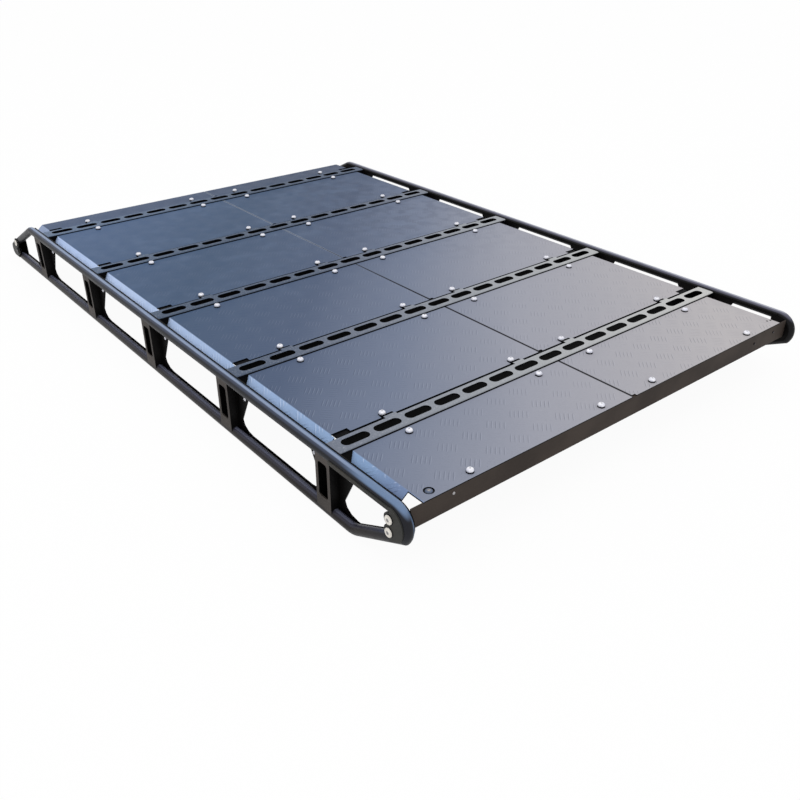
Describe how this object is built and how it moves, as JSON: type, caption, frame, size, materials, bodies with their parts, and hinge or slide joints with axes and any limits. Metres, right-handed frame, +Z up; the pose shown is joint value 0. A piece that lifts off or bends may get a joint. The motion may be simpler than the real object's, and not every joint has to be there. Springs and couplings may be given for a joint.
{
  "type": "roof rack",
  "caption": "Flat platform roof rack with slotted crossbars, tread plate deck panels and bent tube side rails carried on slotted posts.",
  "frame": {"origin": "middle of the footprint, on the floor under the lower rails", "axes": "+Y along the vehicle, away from the near nose; +Z up; X across"},
  "size_m": [1.289, 2.1208, 0.154],
  "materials": {
    "crossbar_coat": "satin dark grey powder coat with fine grain",
    "tread_plate": "satin black powder coat over tread plate with short raised bars",
    "rail_coat": "satin black powder coat on round tube",
    "side_plate_coat": "satin black powder coat",
    "post_coat": "satin black powder coat",
    "gusset_coat": "satin black powder coat",
    "end_member_coat": "satin black powder coat"
  },
  "bodies": {
    "root": {"crossbar_1": "crossbar_coat", "crossbar_2": "crossbar_coat", "crossbar_3": "crossbar_coat", "crossbar_4": "crossbar_coat", "crossbar_5": "crossbar_coat", "near_end_member": "end_member_coat", "far_end_member": "end_member_coat", "left_deck_panel_1": "tread_plate", "right_deck_panel_1": "tread_plate", "left_deck_panel_2": "tread_plate", "right_deck_panel_2": "tread_plate", "left_deck_panel_3": "tread_plate", "right_deck_panel_3": "tread_plate", "left_deck_panel_4": "tread_plate", "right_deck_panel_4": "tread_plate", "left_deck_panel_5": "tread_plate", "right_deck_panel_5": "tread_plate", "left_deck_panel_6": "tread_plate", "right_deck_panel_6": "tread_plate", "left_upper_rail": "rail_coat", "right_upper_rail": "rail_coat", "left_lower_rail": "rail_coat", "right_lower_rail": "rail_coat", "left_side_plate": "side_plate_coat", "right_side_plate": "side_plate_coat", "left_post_1": "post_coat", "left_post_2": "post_coat", "left_post_3": "post_coat", "left_post_4": "post_coat", "left_post_5": "post_coat", "right_post_1": "post_coat", "right_post_2": "post_coat", "right_post_3": "post_coat", "right_post_4": "post_coat", "right_post_5": "post_coat", "left_near_gusset": "gusset_coat", "right_near_gusset": "gusset_coat", "left_far_gusset": "gusset_coat", "right_far_gusset": "gusset_coat"}
  },
  "joints": []
}
